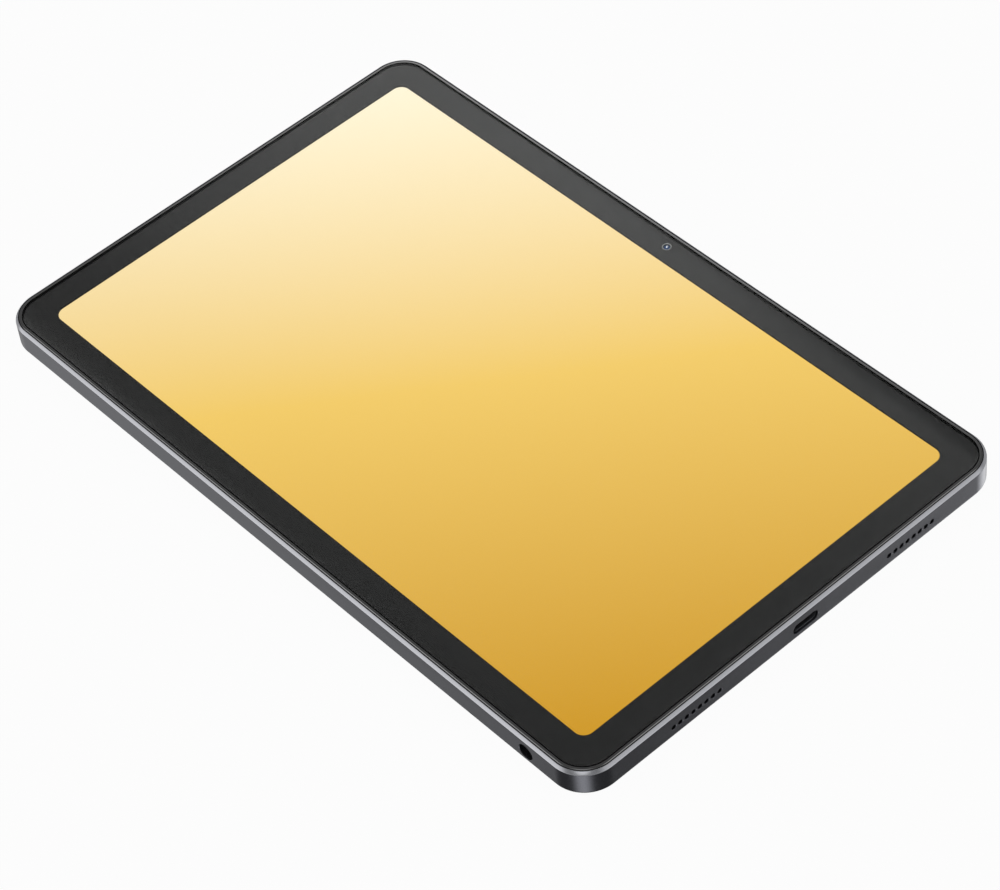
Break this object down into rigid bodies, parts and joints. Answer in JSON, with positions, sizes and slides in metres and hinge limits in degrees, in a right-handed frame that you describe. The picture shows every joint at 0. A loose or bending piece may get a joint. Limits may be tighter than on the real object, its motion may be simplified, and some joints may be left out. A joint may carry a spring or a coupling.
{
  "type": "tablet computer",
  "caption": "Flat tablet computer in a chamfered aluminium tray, glass front with display, side sockets, keys and a sliding card tray.",
  "frame": {"origin": "middle of the rear face, on the surface the tablet lies on", "axes": "+X along the long side towards the USB-C socket, +Y along the short side towards the front camera, +Z out of the screen"},
  "size_m": [0.2488, 0.1582, 0.0086],
  "materials": {
    "anodised_aluminium": "satin",
    "antenna_plastic": "matte",
    "black_plastic": "satin",
    "cover_glass": "gloss",
    "display_panel": "gloss",
    "reflector_film": "satin",
    "spring_steel": "satin",
    "screw_steel": "satin",
    "brass": "satin",
    "circuit_board": "satin",
    "flex_film": "satin",
    "battery_pouch": "satin",
    "battery_tape": "matte",
    "graphite_film": "satin",
    "dust_mesh": "matte",
    "lens_glass": "polished",
    "flash_diffuser": "gloss"
  },
  "bodies": {
    "tablet": {"antenna_cover": "antenna_plastic", "backlight_unit": "reflector_film", "battery_cell_1": "battery_pouch", "battery_cell_2": "battery_pouch", "battery_guard_board": "battery_tape", "battery_lead": "flex_film", "bezel_ring": "black_plastic", "board_link_flex": "flex_film", "board_screw_1": "screw_steel", "board_screw_2": "screw_steel", "board_screw_3": "screw_steel", "board_screw_4": "screw_steel", "card_reader": "spring_steel", "cover_glass": "cover_glass", "display_driver_board": "circuit_board", "display_flex": "flex_film", "display_panel": "display_panel", "flash_lens": "flash_diffuser", "front_camera": "black_plastic", "front_camera_barrel": "lens_glass", "headphone_jack": "black_plastic", "heat_spreader": "graphite_film", "jack_flex": "flex_film", "main_board": "circuit_board", "microphone_1": "spring_steel", "microphone_2": "spring_steel", "mid_plate": "spring_steel", "plate_screw_1": "screw_steel", "plate_screw_2": "screw_steel", "plate_screw_3": "screw_steel", "plate_screw_4": "screw_steel", "plate_screw_5": "screw_steel", "plate_screw_6": "screw_steel", "power_shield": "spring_steel", "power_switch_board": "flex_film", "processor_shield": "spring_steel", "radio_shield": "spring_steel", "rear_camera": "black_plastic", "rear_camera_ring": "anodised_aluminium", "rear_camera_window": "lens_glass", "rear_housing": "anodised_aluminium", "speaker_1": "black_plastic", "speaker_2": "black_plastic", "speaker_3": "black_plastic", "speaker_4": "black_plastic", "speaker_mesh_1": "dust_mesh", "speaker_mesh_2": "dust_mesh", "speaker_mesh_3": "dust_mesh", "speaker_mesh_4": "dust_mesh", "touch_flex": "flex_film", "usb_board": "circuit_board", "usb_receptacle": "spring_steel", "usb_tongue": "black_plastic", "volume_switch_board": "flex_film"},
    "power_button": {"power_button": "anodised_aluminium"},
    "volume_key": {"volume_key": "anodised_aluminium"},
    "card_tray": {"card_tray": "anodised_aluminium"},
    "eject_rod": {"eject_rod": "spring_steel"},
    "eject_lever": {"eject_lever": "brass"},
    "focus_barrel": {"rear_camera_barrel": "lens_glass"}
  },
  "joints": [
    {"name": "power_button_press", "type": "slide", "parent": "tablet", "child": "power_button", "axis": [1, 0, 0], "range_m": [0, 0.0003], "stiffness_N_per_m": 3000, "springref_m": -0.0001},
    {"name": "volume_key_rock", "type": "hinge", "parent": "tablet", "child": "volume_key", "pos_m": [-0.10225, 0.077, 0.0038], "axis": [0, 0, 1], "range_deg": [-1.2, 1.2], "stiffness_Nm_per_rad": 0.25},
    {"name": "card_tray_slide", "type": "slide", "parent": "tablet", "child": "card_tray", "axis": [0, 1, 0], "range_m": [0, 0.024]},
    {"name": "eject_rod_push", "type": "slide", "parent": "tablet", "child": "eject_rod", "axis": [0, -1, 0], "range_m": [0, 0.0012]},
    {"name": "eject_lever_turn", "type": "hinge", "parent": "tablet", "child": "eject_lever", "pos_m": [-0.0829, 0.05245, 0.00355], "axis": [0, 0, 1], "range_deg": [0, 24.1]},
    {"name": "focus_barrel_slide", "type": "slide", "parent": "tablet", "child": "focus_barrel", "axis": [0, 0, -1], "range_m": [0, 0.0003], "stiffness_N_per_m": 60}
  ],
  "couplings": [
    {"joint": "eject_lever_turn", "follows": "eject_rod_push", "rad_per_m": 350}
  ]
}
